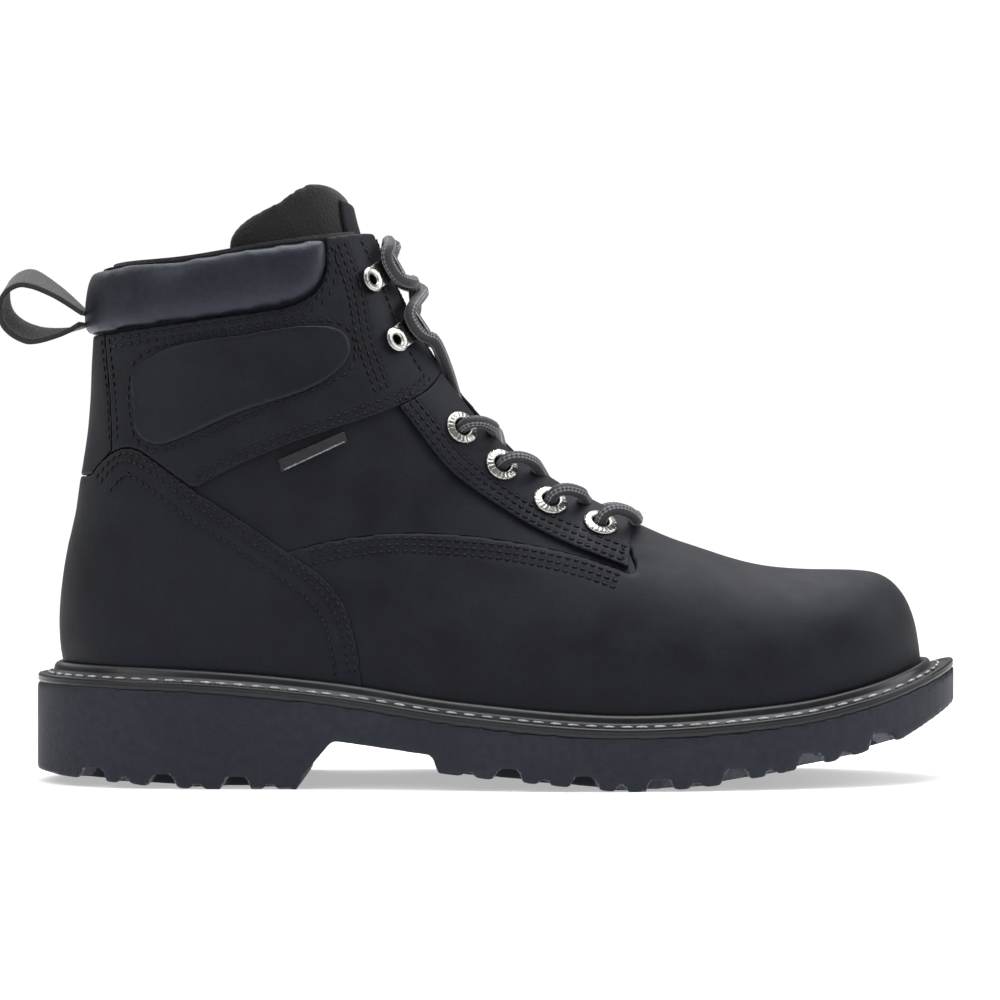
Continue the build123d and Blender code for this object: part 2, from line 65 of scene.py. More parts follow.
def linear(code):
    """Linear colour of an sRGB hex value."""
    parts = [int(code[k:k + 2], 16) / 255 for k in (1, 3, 5)]
    return [c / 12.92 if c <= 0.04045 else ((c + 0.055) / 1.055) ** 2.4 for c in parts] + [1.0]


def add(tree, kind, inputs=None, **settings):
    """A node of a finish: settings by name, and inputs as values or as (node, output)."""
    made = tree.nodes.new(kind)
    for name, value in settings.items():
        setattr(made, name, value)
    for name, value in (inputs or {}).items():
        if isinstance(value, tuple) and isinstance(value[0], bpy.types.Node):
            tree.links.new(value[0].outputs[value[1]], made.inputs[name])
        else:
            made.inputs[name].default_value = value
    return made


def new_finish(name):
    """An empty finish and its node tree."""
    finish = bpy.data.materials.new(name)
    finish.use_nodes = True
    finish.node_tree.nodes.clear()
    return finish, finish.node_tree


def coat(mesh, finish):
    """Give a mesh one finish."""
    mesh.materials.clear()
    mesh.materials.append(finish)


def place_mesh(name, mesh, finish=None):
    """Smoothly shaded object for a mesh whose place is in its points."""
    piece = bpy.data.objects.new(name, mesh)
    scene.collection.objects.link(piece)
    if finish:
        coat(mesh, finish)
    for polygon in mesh.polygons:
        polygon.use_smooth = True
    return piece


view = bpy.data.cameras.new("bench_camera")
view.lens = CAMERA_LENS
view.sensor_width = CAMERA_SENSOR
camera = bpy.data.objects.new("bench_camera", view)
scene.collection.objects.link(camera)
camera.location = CAMERA_PLACE
camera.rotation_euler = (math.radians(90), 0.0, 0.0)
scene.camera = camera

scene.view_settings.view_transform = "Standard"
world = bpy.data.worlds.new("studio")
scene.world = world
world.use_nodes = True
tree = world.node_tree
tree.nodes.clear()
# The room looks white, and its walls light the boot less than its lamps and its floor do.
ray = add(tree, "ShaderNodeLightPath")
level = add(tree, "ShaderNodeMapRange", {"Value": (ray, "Is Camera Ray"), "To Min": WALL_LEVEL,
                                         "To Max": SEEN_WALL_LEVEL})
room = add(tree, "ShaderNodeBackground", {"Color": linear("#FFFFFF"), "Strength": (level, "Result")})
add(tree, "ShaderNodeOutputWorld", {"Surface": (room, "Background")})
overhead = bpy.data.lights.new("overhead", "SUN")
overhead.energy = OVERHEAD_POWER
overhead.angle = OVERHEAD_SPREAD
overhead_lamp = bpy.data.objects.new("overhead", overhead)
scene.collection.objects.link(overhead_lamp)
overhead_lamp.rotation_euler = OVERHEAD_TILT
for name, (power, size, place, aim) in SOFT_BOXES.items():
    lamp = bpy.data.lights.new(name, "AREA")
    lamp.energy = power
    lamp.shape = "SQUARE"
    lamp.size = size
    box = bpy.data.objects.new(name, lamp)
    scene.collection.objects.link(box)
    box.location = place
    box.rotation_euler = (Vector(aim) - Vector(place)).to_track_quat("-Z", "Y").to_euler()

sweep_finish, tree = new_finish("matte_white_sweep")
where = add(tree, "ShaderNodeTexCoord")
grit = add(tree, "ShaderNodeTexNoise", {"Vector": (where, "Object"), "Scale": 900.0})
tooth = add(tree, "ShaderNodeBump", {"Height": (grit, "Fac"), "Strength": 0.05, "Distance": 0.1 * MM})
skin = add(tree, "ShaderNodeBsdfPrincipled", {
    "Base Color": linear("#D8D8D8"), "Roughness": 0.9, "Normal": (tooth, "Normal"),
    "Emission Color": linear("#FFFFFF"), "Emission Strength": FLOOR_GLOW})
add(tree, "ShaderNodeOutputMaterial", {"Surface": (skin, "BSDF")})
shape = bmesh.new()
bmesh.ops.create_grid(shape, x_segments=1, y_segments=1, size=FLOOR_SIZE)
sweep_mesh = bpy.data.meshes.new("white_sweep")
shape.to_mesh(sweep_mesh)
shape.free()
place_mesh("white_sweep", sweep_mesh, sweep_finish)

# Outsole. Moulded nitrile rubber with a heel, edge lugs and tapered notches, cemented under the
# welt. Bluish black with a fine moulded pebble; the notch walls are a paler grey.
PEBBLE_MM = 0.9


def organic_finish(name, dark, light, patch_mm, grain_mm, relief_mm, rough, cells=False, **surface):
    """Finish with clouded colour and roughness and a fine raised grain."""
    finish, tree = new_finish(name)
    where = add(tree, "ShaderNodeTexCoord")
    cloud = add(tree, "ShaderNodeTexNoise", {"Vector": (where, "Object"), "Scale": 1000 / patch_mm,
                                             "Detail": 5.0, "Roughness": 0.6})
    speck = add(tree, "ShaderNodeTexNoise", {"Vector": (where, "Object"), "Scale": 1000 / (3 * grain_mm),
                                             "Detail": 3.0})
    blend = add(tree, "ShaderNodeMapRange", {"Value": (cloud, "Fac"), "From Min": 0.35, "From Max": 0.65})
    shade = add(tree, "ShaderNodeMix", {0: (blend, "Result"), 6: linear(dark), 7: linear(light)},
                data_type="RGBA")
    mottle = add(tree, "ShaderNodeMapRange", {"Value": (speck, "Fac"), "From Min": 0.3, "From Max": 0.7,
                                              "To Min": 0.75, "To Max": 1.25})
    tint = add(tree, "ShaderNodeMix", {0: 1.0, 6: (shade, 2), 7: (mottle, "Result")},
               data_type="RGBA", blend_type="MULTIPLY")
    polish = add(tree, "ShaderNodeMapRange", {"Value": (cloud, "Fac"), "From Min": 0.3, "From Max": 0.7,
                                              "To Min": rough[0], "To Max": rough[1]})
    if cells:
        grain = add(tree, "ShaderNodeTexVoronoi", {"Vector": (where, "Object"), "Scale": 1000 / grain_mm},
                    feature="SMOOTH_F1")
        height = (grain, "Distance")
    else:
        grain = add(tree, "ShaderNodeTexNoise", {"Vector": (where, "Object"), "Scale": 1000 / grain_mm,
                                                 "Detail": 2.0})
        height = (grain, "Fac")
    relief = add(tree, "ShaderNodeBump", {"Height": height, "Strength": 1.0, "Distance": relief_mm * MM})
    values = {"Base Color": (tint, 2), "Roughness": (polish, "Result"), "Normal": (relief, "Normal")}
    values.update({key.replace("_", " "): value for key, value in surface.items()})
    skin = add(tree, "ShaderNodeBsdfPrincipled", values)
    add(tree, "ShaderNodeOutputMaterial", {"Surface": (skin, "BSDF")})
    return finish


def welded_copy(node, name):
    """Copy of a solid with its loose triangles joined."""
    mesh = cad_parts[node].data.copy()
    if mesh.has_custom_normals:
        mesh.attributes.remove(mesh.attributes["custom_normal"])
    shape = bmesh.new()
    shape.from_mesh(mesh)
    bmesh.ops.remove_doubles(shape, verts=shape.verts, dist=0.002 * MM)
    shape.to_mesh(mesh)
    shape.free()
    return place_mesh(name, mesh)


def settle(piece):
    """Leave a piece with the mesh that its modifiers give."""
    bpy.context.view_layer.update()
    solved = piece.evaluated_get(bpy.context.evaluated_depsgraph_get())
    mesh = bpy.data.meshes.new_from_object(solved)
    piece.modifiers.clear()
    piece.data = mesh
    return piece


def rub_smooth(piece, rounds):
    """Even out a mesh."""
    shape = bmesh.new()
    shape.from_mesh(piece.data)
    for _ in range(rounds):
        bmesh.ops.smooth_vert(shape, verts=shape.verts, factor=0.5, use_axis_x=True, use_axis_y=True,
                              use_axis_z=True)
    shape.to_mesh(piece.data)
    shape.free()


def cut_piece(node, name, finish, voxel_mm, rounds=2):
    """A piece cut from its solid, evenly divided, with its cut edges rubbed round."""
    piece = welded_copy(node, name)
    even = piece.modifiers.new("even", "REMESH")
    even.mode = "VOXEL"
    even.voxel_size = voxel_mm * MM
    even.use_smooth_shade = True
    settle(piece)
    rub_smooth(piece, rounds)
    coat(piece.data, finish)
    return piece


outsole_rubber = organic_finish("moulded_nitrile_rubber", "#15181D", "#1E2127", 30, PEBBLE_MM, 0.12,
                                (0.5, 0.66), cells=True, Specular_IOR_Level=0.35,
                                Specular_Tint=linear("#E6E9FF"))
notch_rubber = organic_finish("pale_notch_rubber", "#42464E", "#5E626B", 12, PEBBLE_MM, 0.08, (0.45, 0.6))
outsole = cut_piece("outsole", "outsole_moulding", outsole_rubber, 1.15, rounds=1)
outsole.data.materials.append(notch_rubber)
NOTCH_REACH = (0.6, 13.0)
NOTCH_TALL = (0.3, 5.4)
ARCH_RISE = 29
SOLE_FACES_DOWN = -0.75
WALL_ABOVE_TREAD = 9
TREAD = [(-151, 4.2), (-127, 2.2), (-95, 0), (-59, 0), (-58, 30), (-15, 30), (-13, 5.6), (3, 3.8), (28, 1.6),
         (45, 0), (60, 0), (78, 1.6), (100, 5.5), (116, 8.6), (130, 12), (142, 15.5), (166, 28)]


def height_on(line, x):
    """Height in mm of a side line at x mm."""
    if x <= line[0][0]:
        return line[0][1]
    for (x0, z0), (x1, z1) in zip(line, line[1:]):
        if x <= x1:
            return z0 + (z1 - z0) * (x - x0) / (x1 - x0)
    return line[-1][1]


moulding = outsole.data
wall_tree = BVHTree.FromPolygons([corner.co for corner in moulding.vertices],
                                 [polygon.vertices for polygon in moulding.polygons])
for polygon in moulding.polygons:
    place = polygon.center
    tread = height_on(TREAD, place.x / MM)
    up = place.z / MM - tread
    if tread > ARCH_RISE or not NOTCH_TALL[0] < up < NOTCH_TALL[1] or polygon.normal.z < SOLE_FACES_DOWN:
        continue
    side = 1 if place.y > 0 else -1
    start = Vector((place.x, side * 0.1, (tread + WALL_ABOVE_TREAD) * MM))
    wall = wall_tree.ray_cast(start, Vector((0, -side, 0)))[0]
    if wall is not None and NOTCH_REACH[0] < (wall.y - place.y) * side / MM < NOTCH_REACH[1]:
        polygon.material_index = 1
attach(outsole, "boot")
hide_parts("outsole")

# Bottom filler, shank and insole board. Granulated cork paste fills the hollow of the welt round a
# sprung steel shank, and a pressed fibre board closes it. None of them shows in the whole boot.
cork = organic_finish("granulated_cork", "#6B4A2E", "#A07A4E", 4, 1.6, 0.3, (0.8, 0.95), cells=True)
board = organic_finish("pressed_fibre_board", "#8E8468", "#ABA184", 8, 0.5, 0.05, (0.8, 0.9))


def metal_finish(name, dark, light, wear_mm, scratch_mm, rough):
    """Plated or bare metal with clouded tone and fine drawn scratches."""
    finish, tree = new_finish(name)
    where = add(tree, "ShaderNodeTexCoord")
    cloud = add(tree, "ShaderNodeTexNoise", {"Vector": (where, "Object"), "Scale": 1000 / wear_mm,
                                             "Detail": 4.0})
    tint = add(tree, "ShaderNodeMix", {0: (cloud, "Fac"), 6: linear(dark), 7: linear(light)}, data_type="RGBA")
    drawn = add(tree, "ShaderNodeMapping", {"Vector": (where, "Object"), "Scale": (1.0, 1.0, 9.0)})
    scratch = add(tree, "ShaderNodeTexNoise", {"Vector": (drawn, "Vector"), "Scale": 1000 / scratch_mm})
    polish = add(tree, "ShaderNodeMapRange", {"Value": (cloud, "Fac"), "To Min": rough[0], "To Max": rough[1]})
    relief = add(tree, "ShaderNodeBump", {"Height": (scratch, "Fac"), "Strength": 0.6, "Distance": 0.02 * MM})
    skin = add(tree, "ShaderNodeBsdfPrincipled", {
        "Base Color": (tint, 2), "Metallic": 1.0, "Roughness": (polish, "Result"),
        "Normal": (relief, "Normal")})
    add(tree, "ShaderNodeOutputMaterial", {"Surface": (skin, "BSDF")})
    return finish


formed_steel = metal_finish("pressed_steel", "#7C7F85", "#9A9DA3", 14, 0.8, (0.3, 0.5))


for node, finish in (("cork_filler", cork), ("steel_shank", formed_steel), ("insole_board", board)):
    coat(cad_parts[node].data, finish)

# Toe cap, gasket, heel counter and interlining. A pressed steel bowl with a rubber strip on its
# back edge, a thermoformed heel stiffener and a foam interlining, all between lining and leather.
gasket_rubber = organic_finish("extruded_strip_rubber", "#1A1B1D", "#242528", 10, 0.6, 0.03, (0.5, 0.6))
stiffener = organic_finish("thermoformed_fibre", "#8A7F6A", "#9C927C", 9, 0.5, 0.05, (0.7, 0.85))
foam = organic_finish("open_cell_foam", "#3A3C40", "#4A4D52", 6, 0.9, 0.2, (0.9, 1.0), cells=True)
for node, finish in (("steel_toe_cap", formed_steel), ("toe_cap_gasket", gasket_rubber),
                     ("heel_counter", stiffener), ("interlining", foam)):
    coat(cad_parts[node].data, finish)

# Lining and footbed. Black spacer mesh knitted in small diamonds, bonded to the shaft and turned
# over the collar, and a loose moulded foam footbed with the same mesh on top.
KNIT_MM = 2.2


def knit_finish(name, dark, light, stitch_mm, relief_mm, sheen):
    """Knitted or brushed cloth: rows of loops across the piece, with a soft nap."""
    finish, tree = new_finish(name)
    where = add(tree, "ShaderNodeTexCoord")
    turn = add(tree, "ShaderNodeMapping", {"Vector": (where, "Object"), "Rotation": (0.6, 0.78, 0.0)})
    loops = add(tree, "ShaderNodeTexVoronoi", {"Vector": (turn, "Vector"), "Scale": 1000 / stitch_mm})
    nap = add(tree, "ShaderNodeTexNoise", {"Vector": (where, "Object"), "Scale": 1000 / (stitch_mm / 3),
                                           "Detail": 3.0})
    cloud = add(tree, "ShaderNodeTexNoise", {"Vector": (where, "Object"), "Scale": 1000 / (stitch_mm * 9)})
    tint = add(tree, "ShaderNodeMix", {0: (nap, "Fac"), 6: linear(dark), 7: linear(light)}, data_type="RGBA")
    lift = add(tree, "ShaderNodeMath", {0: (loops, "Distance"), 1: (nap, "Fac")}, operation="ADD")
    relief = add(tree, "ShaderNodeBump", {"Height": (lift, "Value"), "Strength": 1.0,
                                          "Distance": relief_mm * MM})
    rough = add(tree, "ShaderNodeMapRange", {"Value": (cloud, "Fac"), "To Min": 0.85, "To Max": 1.0})
    skin = add(tree, "ShaderNodeBsdfPrincipled", {
        "Base Color": (tint, 2), "Roughness": (rough, "Result"), "Normal": (relief, "Normal"),
        "Sheen Weight": sheen, "Sheen Roughness": 0.5})
    add(tree, "ShaderNodeOutputMaterial", {"Surface": (skin, "BSDF")})
    return finish


lining_mesh = knit_finish("spacer_mesh_knit", "#060607", "#101114", KNIT_MM, 0.3, 0.08)
lining = welded_copy("lining", "mesh_lining")
coat(lining.data, lining_mesh)
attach(lining, "boot")
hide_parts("lining")
footbed = cut_piece("footbed", "foam_footbed", lining_mesh, 1.6)
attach(footbed, "boot")
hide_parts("footbed")

# Leathers of the upper. Oiled nubuck 1.8 to 2 mm thick: quarters, one-piece vamp, backstay, heel
# foxing, ankle panels and eyestays, skived, lapped over each other and sewn, then lasted.
nubuck = organic_finish("oiled_nubuck_leather", "#07070A", "#111217", 15, 0.45, 0.06, (0.5, 0.66),
                        Sheen_Weight=0.02, Sheen_Roughness=0.4, Specular_IOR_Level=0.26,
                        Specular_Tint=linear("#E6E9FF"))
LEATHERS = [
    ("quarter_lateral", 0.0), ("quarter_medial", 0.0), ("vamp", 1.15), ("backstay", 0.7),
    ("heel_foxing", 0.9), ("ankle_panel_lateral", 0.7), ("ankle_panel_medial", 0.7),
    ("eyestay_lateral", 0.6), ("eyestay_medial", 0.6),
]
EDGE_ANGLE = math.radians(35)
leathers = []
for node, voxel_mm in LEATHERS:
    if voxel_mm:
        piece = cut_piece(node, node + "_leather", nubuck, voxel_mm)
    else:
        piece = welded_copy(node, node + "_leather")
        coat(piece.data, nubuck)
        piece.data.set_sharp_from_angle(angle=EDGE_ANGLE)
    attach(piece, "boot")
    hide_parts(node)
    leathers.append(piece)

# Padding of the upper. A foam roll under smooth leather makes the collar, and a raised foam window
# sits over each ankle; both are turned under and sewn down, so they crown between their seams.
smooth_leather = organic_finish("smooth_collar_leather", "#12151B", "#1B1F26", 30, 0.8, 0.05, (0.36, 0.48),
                                cells=True, Specular_IOR_Level=0.4, Specular_Tint=linear("#E6E9FF"))
window_leather = organic_finish("waxed_window_leather", "#08080C", "#101117", 26, 0.6, 0.04, (0.42, 0.52),
                                cells=True, Specular_IOR_Level=0.3, Specular_Tint=linear("#E6E9FF"))
SWELL_FRAMES = 20


def swell(piece, pressure, most_mm):
    """Let the filling press the cover out, no further than the seams allow."""
    before = [corner.co.copy() for corner in piece.data.vertices]
    cloth = piece.modifiers.new("swell", "CLOTH")
    cloth.settings.quality = 4
    cloth.settings.use_pressure = True
    cloth.settings.uniform_pressure_force = pressure
    cloth.settings.effector_weights.gravity = 0.0
    cloth.point_cache.frame_start = 1
    cloth.point_cache.frame_end = SWELL_FRAMES
    for number in range(1, SWELL_FRAMES + 1):
        scene.frame_set(number)
    settle(piece)
    for corner, start in zip(piece.data.vertices, before):
        move = corner.co - start
        if move.length > most_mm * MM:
            corner.co = start + move.normalized() * most_mm * MM
    scene.frame_set(1)


COLLAR_TOP = [(-140, 172), (-126, 174), (-100, 175.4), (-78, 179), (-53, 183.3), (-30, 187)]
COLLAR_FOOT = [(-137, 150.5), (-123, 151.6), (-101, 154.3), (-75.6, 157.9), (-60, 161.5), (-54, 165.5),
               (-51, 172)]
COLLAR_END_X = -50.0
COLLAR_END_ROUND = 7.0
COLLAR_MIDDLE_X = -0.085
COLLAR_CROWN = 2.1
COLLAR_PINCH = 0.7

collar = cut_piece("collar_pad", "padded_collar", smooth_leather, 1.6)
swell(collar, 4.0, 1.2)
for corner in collar.data.vertices:
    x, z = corner.co.x / MM, corner.co.z / MM
    foot, top = height_on(COLLAR_FOOT, x), height_on(COLLAR_TOP, x)
    across = min(max((z - foot) / (top - foot), 0.0), 1.0)
    ends = min(1.0, max(0.0, (COLLAR_END_X - x) / COLLAR_END_ROUND))
    crown = (1 - (2 * across - 1) ** 2) ** 0.5 * (ends * (2 - ends)) ** 0.5
    out = Vector((corner.co.x - COLLAR_MIDDLE_X, corner.co.y, 0.0))
    corner.co += out.normalized() * (COLLAR_CROWN * crown - COLLAR_PINCH) * MM
rub_smooth(collar, 8)
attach(collar, "boot")
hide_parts("collar_pad")
for side in ("lateral", "medial"):
    window = cut_piece("ankle_pad_" + side, "ankle_window_" + side, window_leather, 0.6, rounds=4)
    swell(window, 4.0, 1.0)
    rub_smooth(window, 3)
    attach(window, "boot")
    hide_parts("ankle_pad_" + side)

# Seams of the upper. Bonded nylon thread, twice or three times round each lapped edge at eight to
# nine stitches to the inch; every stitch pulls a small dimple into the leather.
STITCH_PITCH = 2.9
STITCH_LONG = 2.3
THREAD_WIDE = 0.8
FOXING_EDGE = [(-130.5, 103.8), (-124, 110.5), (-117, 113), (-108, 108.8), (-92.7, 97.8), (-76, 87),
               (-63.8, 78.6), (-51.3, 69.7), (-43.6, 59.4), (-40.3, 47.8), (-38.3, 36)]
SWOOP_EDGE = [(-57, 80), (-49, 82), (-35, 84.1), (-24, 84.6), (-6, 83.6), (14, 81.3), (35, 76.6), (50, 71.4)]
PANEL_EDGE = [(-92, 100.2), (-67.4, 112.1), (-46, 119.8), (-25, 127.8), (-16, 133.8), (-13.2, 138.5)]
FACING_SEAM = [(-46.8, 182), (-41.1, 165.8), (-37.8, 149.1), (-31.1, 130.5)]
STAY_EDGE = [(-28, 128.6), (-18, 116), (-9.3, 105.5), (4, 95.5), (17.4, 87.1), (34.2, 79.4), (49.5, 73.4)]
STAY_FRONT = [(50.5, 75), (50.6, 83.5)]
COLLAR_SEAM = [(-124, 151.4), (-101, 154.2), (-75.6, 157.8), (-60, 161.4), (-54, 165.4), (-51.6, 172),
               (-52, 182)]
WINDOW_EDGE = [(-114.8, 139), (-107.8, 144.3), (-79, 150.6), (-52, 153.9), (-44.5, 151.5), (-42.5, 145),
               (-47, 138), (-75.6, 125.6), (-99, 115.6), (-108, 113.9), (-113.5, 117.5), (-115.4, 129),
               (-114.8, 139)]
BACKSTAY_EDGE = [(-125.9, 150), (-123.5, 129), (-122.6, 114.5)]
THROAT_EDGE = [(-39.5, 183.5), (-33, 170), (-28, 157), (-22, 144), (-18.5, 138.5)]
EYELET_EDGE = [(-13.5, 129), (1, 117.5), (14, 107.5), (30, 97), (44, 90.5)]
# Outline, and each row's distance from it in mm, towards the right hand of its direction.
SEAMS = [
    (FOXING_EDGE, (1.7, 4.0, 8.6)), (SWOOP_EDGE, (1.7, 3.9, 6.1)), (PANEL_EDGE, (-1.7, -3.9)),
    (FACING_SEAM, (-2.0, 0.2, 2.4)), (STAY_EDGE, (-6.2, -4.0, -1.8)), (STAY_FRONT, (-1.8,)),
    (COLLAR_SEAM, (1.9, 4.4)), (WINDOW_EDGE, (-1.7,)), (BACKSTAY_EDGE, (-1.6, 1.4)),
    (THROAT_EDGE, (0.0,)), (EYELET_EDGE, (-9.2,)),
]
SHORT_STITCH = 0.5
SEEN_FROM_SIDE = 0.12
THREAD_PROUD = 0.05


def smooth_line(points, step):
    """Places a step apart along a smooth line through side view points."""
    dense = []
    ends = [points[0]] + points + [points[-1]]
    for a, b, c, d in zip(ends, ends[1:], ends[2:], ends[3:]):
        for k in range(12):
            t = k / 12
            dense.append([0.5 * (2 * q + (r - p) * t + (2 * p - 5 * q + 4 * r - s) * t ** 2
                                 + (3 * q - p - 3 * r + s) * t ** 3) for p, q, r, s in zip(a, b, c, d)])
    dense.append(list(points[-1]))
    places = [tuple(dense[0])]
    left = step
    for (x0, z0), (x1, z1) in zip(dense, dense[1:]):
        long = math.hypot(x1 - x0, z1 - z0)
        while long >= left:
            x0, z0 = x0 + (x1 - x0) * left / long, z0 + (z1 - z0) * left / long
            long -= left
            left = step
            places.append((x0, z0))
        left -= long
    return places


def surface_of(pieces):
    """Search tree over several pieces."""
    corners, faces = [], []
    for piece in pieces:
        start = len(corners)
        corners += [corner.co.copy() for corner in piece.data.vertices]
        faces += [[start + k for k in polygon.vertices] for polygon in piece.data.polygons]
    return BVHTree.FromPolygons(corners, faces)


upper_skin = surface_of(leathers)


def skin_place(x, z, side):
    """Place and normal on the leather, seen from one side, at x, z in mm."""
    hit, normal, _, _ = upper_skin.ray_cast(Vector((x * MM, side * 0.2, z * MM)), Vector((0.0, -side, 0.0)))
    return hit, normal


def sew(shape, middle, along, normal, long_mm, wide_mm):
    """One stitch: a low bead of thread."""
    along = (along - normal * along.dot(normal)).normalized()
    frame_axes = Matrix((along, normal.cross(along), normal)).transposed().to_4x4()
    size = Matrix.Diagonal((long_mm / 2, wide_mm / 2, wide_mm / 2.2, 1.0))
    bmesh.ops.create_icosphere(shape, subdivisions=1, radius=MM,
                               matrix=Matrix.Translation(middle) @ frame_axes @ size)


thread = bmesh.new()
dimples = []
for side in (-1, 1):
    for outline, rows in SEAMS:
        middle_line = smooth_line(outline, STITCH_PITCH)
        for row in rows:
            for (x0, z0), (x1, z1) in zip(middle_line, middle_line[1:]):
                turn = math.hypot(x1 - x0, z1 - z0)
                if turn < SHORT_STITCH:
                    continue
                across = ((z1 - z0) / turn, (x0 - x1) / turn)
                x = (x0 + x1) / 2 + row * across[0]
                z = (z0 + z1) / 2 + row * across[1]
                hit, normal = skin_place(x, z, side)
                if hit is None or normal.y * side < SEEN_FROM_SIDE or hit.y * side < 0:
                    continue
                along = Vector((x1 - x0, 0.0, z1 - z0))
                sew(thread, hit + normal * THREAD_PROUD * MM, along, normal, STITCH_LONG, THREAD_WIDE)
                dimples.append(hit)
thread_mesh = bpy.data.meshes.new("upper_seams")
thread.to_mesh(thread_mesh)
thread.free()
nylon = organic_finish("bonded_nylon_thread", "#040406", "#0B0B0F", 3, 0.3, 0.05, (0.4, 0.55),
                       Specular_IOR_Level=0.3)
seams = place_mesh("upper_seams", thread_mesh, nylon)
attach(seams, "boot")

# The leather gives a little at every stitch, and is never quite flat. The quarters lie under the
# other pieces and stay as cut.
DIMPLE_DEEP = 0.3
DIMPLE_WIDE = 1.5
WAVES = ((0.16, 17), (0.05, 5))
pulls = KDTree(len(dimples))
for number, place in enumerate(dimples):
    pulls.insert(place, number)
pulls.balance()
for piece in leathers[2:]:
    normals = [corner.normal.copy() for corner in piece.data.vertices]
    for corner, normal in zip(piece.data.vertices, normals):
        distance = pulls.find(corner.co)[2] / MM
        pull = DIMPLE_DEEP * max(0.0, 1 - distance / DIMPLE_WIDE)
        wave = sum(tall * noise.noise(corner.co * (1000 / wide)) for tall, wide in WAVES)
        corner.co += normal * (wave - pull) * MM

# Side tag. A woven polyester label folded under the ankle panel, plain but for a pale border.
label = organic_finish("woven_polyester_label", "#0A0B0D", "#15161A", 3, 0.35, 0.06, (0.7, 0.85))
label_thread = organic_finish("pale_label_thread", "#6C6F75", "#8A8D93", 2, 0.3, 0.05, (0.7, 0.85))
tag = cut_piece("side_tag", "side_tag_label", label, 0.35, rounds=1)
tag.data.materials.append(label_thread)
TAG_FOOT = ((-65.2, 104.6), (-43.2, 115.0))
BORDER_UP = (0.25, 0.6)
BORDER_END = 1.0
foot_run = Vector((TAG_FOOT[1][0] - TAG_FOOT[0][0], 0.0, TAG_FOOT[1][1] - TAG_FOOT[0][1]))
tag_long = foot_run.length
foot_run.normalize()
foot_up = Vector((-foot_run.z, 0.0, foot_run.x))
for polygon in tag.data.polygons:
    place = polygon.center / MM - Vector((TAG_FOOT[0][0], 0.0, TAG_FOOT[0][1]))
    up, along = place.dot(foot_up), place.dot(foot_run)
    if BORDER_UP[0] < up < BORDER_UP[1] and BORDER_END < along < tag_long - BORDER_END:
        polygon.material_index = 1
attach(tag, "boot")
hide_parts("side_tag")

# Tongue. Foam between mesh and brushed fleece, rolled over at its top, with a leather cover patch
# sewn to its front under the laces.
fleece = knit_finish("brushed_tongue_fleece", "#030304", "#0B0B0E", 1.1, 0.2, 0.12)
tongue = cut_piece("tongue_pad", "padded_tongue", fleece, 1.8)
swell(tongue, 4.0, 3.0)
rub_smooth(tongue, 2)
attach(tongue, "boot")
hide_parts("tongue_pad")
cover = cut_piece("tongue_cover", "tongue_cover_leather", nubuck, 0.6)
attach(cover, "boot")
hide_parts("tongue_cover")

# Lace hardware. Nickel-plated brass: four rolled eyelets a side with a plain milled flange, and
# two open speed hooks a side, each on a hollow rivet.
nickel = metal_finish("nickel_plated_brass", "#7F7E7C", "#BDBBB6", 5, 0.5, (0.16, 0.34))
EYELETS = [(41.1, 87.7), (24.3, 95.2), (7.9, 107.3), (-5.6, 119.8)]
HOOKS = [(-25.5, 151.2), (-33.9, 171.3)]
THROAT_RUN = Vector((-0.643, 0.0, 0.766))
for node in ("speed_hooks_lateral", "speed_hooks_medial", "hook_rivets_lateral", "hook_rivets_medial"):
    hardware = welded_copy(node, node + "_plated")
    coat(hardware.data, nickel)
    tumbled = hardware.modifiers.new("tumbled_edges", "BEVEL")
    tumbled.width = 0.15 * MM
    tumbled.segments = 2
    tumbled.limit_method = "ANGLE"
    tumbled.angle_limit = math.radians(40)
    settle(hardware)
    for polygon in hardware.data.polygons:
        polygon.use_smooth = True
    hardware.data.set_sharp_from_angle(angle=EDGE_ANGLE)
    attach(hardware, "boot")
    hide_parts(node)
FLANGE_TALL = 1.25
RING_MIDDLE_IN = 2
HOOK_RIVET_BACK = 4.4
TOWARDS_OUTSIDE = (0.53, 0.72, 0.45)


def separate_rings(node):
    """The points of each separate ring of a node."""
    shape = bmesh.new()
    shape.from_mesh(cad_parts[node].data)
    bmesh.ops.remove_doubles(shape, verts=shape.verts, dist=0.002 * MM)
    left, rings = set(shape.verts), []
    while left:
        found, reach = [], [left.pop()]
        while reach:
            corner = reach.pop()
            found.append(corner.co.copy())
            for edge in corner.link_edges:
                other = edge.other_vert(corner)
                if other in left:
                    left.remove(other)
                    reach.append(other)
        rings.append(found)
    shape.free()
    return rings


def lace_spot(rings, x, z, side):
    """Place, outward axis and run up the throat of the ring nearest to x, z in mm."""
    def apart(ring):
        middle = sum(ring, Vector()) / len(ring) / MM
        return math.hypot(middle.x + RING_MIDDLE_IN - x, middle.z + RING_MIDDLE_IN - z)
    ring = min(rings, key=apart)
    outward = Vector((TOWARDS_OUTSIDE[0], side * TOWARDS_OUTSIDE[1], TOWARDS_OUTSIDE[2]))
    spread = numpy.cov(numpy.array(ring).T)
    columns = [Vector(column) for column in numpy.linalg.eigh(spread)[1].T]
    axis = max(columns, key=lambda column: abs(column.dot(outward)))
    if axis.dot(outward) < 0:
        axis = -axis
    middle = sum(ring, Vector()) / len(ring)
    middle += axis * (max(point.dot(axis) for point in ring) - middle.dot(axis) - FLANGE_TALL * MM)
    run = (THROAT_RUN - axis * THROAT_RUN.dot(axis)).normalized()
    return middle, axis, run


